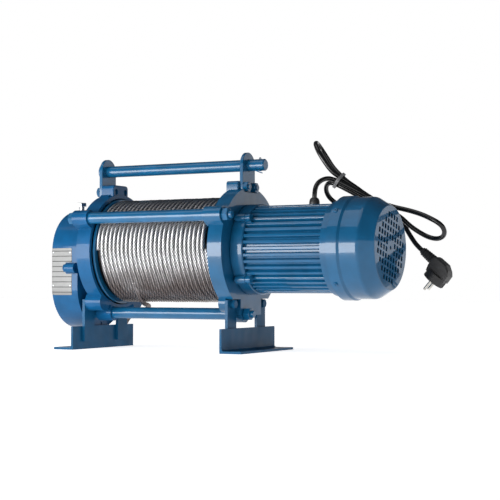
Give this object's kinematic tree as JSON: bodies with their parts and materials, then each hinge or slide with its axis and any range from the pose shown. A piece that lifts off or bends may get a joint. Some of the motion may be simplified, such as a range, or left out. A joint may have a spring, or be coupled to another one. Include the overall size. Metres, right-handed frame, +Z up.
{
  "type": "wire rope puller",
  "caption": "Electric rope winch: grooved rope drum between two castings, geared left end, finned motor, hanger rod, angle feet and a plug-in power cord.",
  "frame": {"origin": "on the floor, under the middle of the body's bounding box without its cords", "axes": "+X along the drum axis from the gear end to the motor, +Z up, -Y the front"},
  "size_m": [0.7771, 0.3373, 0.3566],
  "materials": {
    "gear_paint": "glossy blue enamel on a casting",
    "body_paint": "glossy blue enamel",
    "bolt_paint": "blue enamel over the fasteners",
    "zinc_steel": "zinc plated",
    "bright_steel": "ground steel",
    "rope_steel": "galvanised wire rope",
    "forged_steel": "galvanised forging",
    "gear_steel": "machined gear steel",
    "iron_core": "laminated iron",
    "copper": "enamelled copper",
    "fan_plastic": "moulded plastic",
    "label": "printed plate, left blank",
    "cord_black": "glossy black sheath",
    "gland_rubber": "black rubber",
    "plug_rubber": "matte black moulding",
    "pin_nickel": "nickel plated",
    "tie_grey": "pale plastic band"
  },
  "bodies": {
    "frame": {"gear_cover": "gear_paint", "gear_cover_bolts": "gear_paint", "gearbox_housing": "gear_paint", "oil_filler_plug": "zinc_steel", "rating_plate": "label", "rating_plate_rivets": "zinc_steel", "motor_bracket": "body_paint", "tie_rod_front": "body_paint", "tie_rod_lower": "body_paint", "tie_rod_rear": "body_paint", "tie_rod_nuts": "bolt_paint", "hanger_lug_left": "body_paint", "hanger_lug_right": "body_paint", "hanger_lug_bolts": "bolt_paint", "hanger_rod": "body_paint", "hanger_cotter_pin": "bolt_paint", "foot_angle_left": "body_paint", "foot_angle_right": "body_paint", "foot_bars": "body_paint", "foot_bolts": "bolt_paint", "motor_front_shield": "body_paint", "motor_housing": "body_paint", "motor_rear_shield": "body_paint", "shield_screws": "bolt_paint", "stator_core": "iron_core", "stator_windings": "copper", "fan_cover": "body_paint", "fan_cover_screws": "bolt_paint", "brake_magnet": "iron_core", "brake_coil": "copper", "cord_gland": "gland_rubber", "power_cord": "cord_black", "cord_tie": "tie_grey", "plug_body": "plug_rubber", "plug_pins": "pin_nickel", "rope_tail": "rope_steel", "rope_ferrule": "forged_steel", "rope_eye": "rope_steel", "rope_thimble": "forged_steel", "hook_body": "forged_steel", "hook_latch_pin": "forged_steel", "shaft_bearing_outer_rings": "bright_steel", "drum_bearing_inner_rings": "bright_steel"},
    "drum": {"drum_tube": "iron_core", "drum_flanges": "iron_core", "ring_gear": "gear_steel", "ring_gear_bolts": "zinc_steel", "rope_winding": "rope_steel", "drum_bearing_outer_rings": "bright_steel", "rope_anchor_clamp": "zinc_steel"},
    "countershaft": {"countershaft": "gear_steel", "countershaft_gear": "gear_steel", "countershaft_bearing_rings": "bright_steel"},
    "rotor": {"motor_shaft": "bright_steel", "rotor_core": "iron_core", "cooling_fan": "fan_plastic", "brake_disc": "fan_plastic", "motor_shaft_bearing_rings": "bright_steel"},
    "brake_armature": {"brake_armature": "bright_steel"},
    "hook_latch": {"hook_latch": "forged_steel"}
  },
  "joints": [
    {"name": "drum_spin", "type": "hinge", "parent": "frame", "child": "drum", "pos_m": [-0.09, 0, 0.171], "axis": [1, 0, 0], "continuous": true},
    {"name": "countershaft_spin", "type": "hinge", "parent": "frame", "child": "countershaft", "pos_m": [-0.25, 0, 0.108], "axis": [1, 0, 0], "continuous": true},
    {"name": "rotor_spin", "type": "hinge", "parent": "frame", "child": "rotor", "pos_m": [0.1, 0, 0.171], "axis": [1, 0, 0], "continuous": true},
    {"name": "brake_release", "type": "slide", "parent": "frame", "child": "brake_armature", "axis": [-1, 0, 0], "range_m": [0, 0.0005], "stiffness_N_per_m": 20000, "springref_m": -0.004},
    {"name": "latch_swing", "type": "hinge", "parent": "frame", "child": "hook_latch", "pos_m": [-0.3536, 0.19356, 0.01261], "axis": [-0.1234, 0.1122, 0.986], "range_deg": [0, 30], "stiffness_Nm_per_rad": 0.02, "springref_deg": -22.92}
  ],
  "couplings": [
    {"joint": "countershaft_spin", "follows": "drum_spin", "ratio": 6.25},
    {"joint": "rotor_spin", "follows": "drum_spin", "ratio": -37.5}
  ]
}
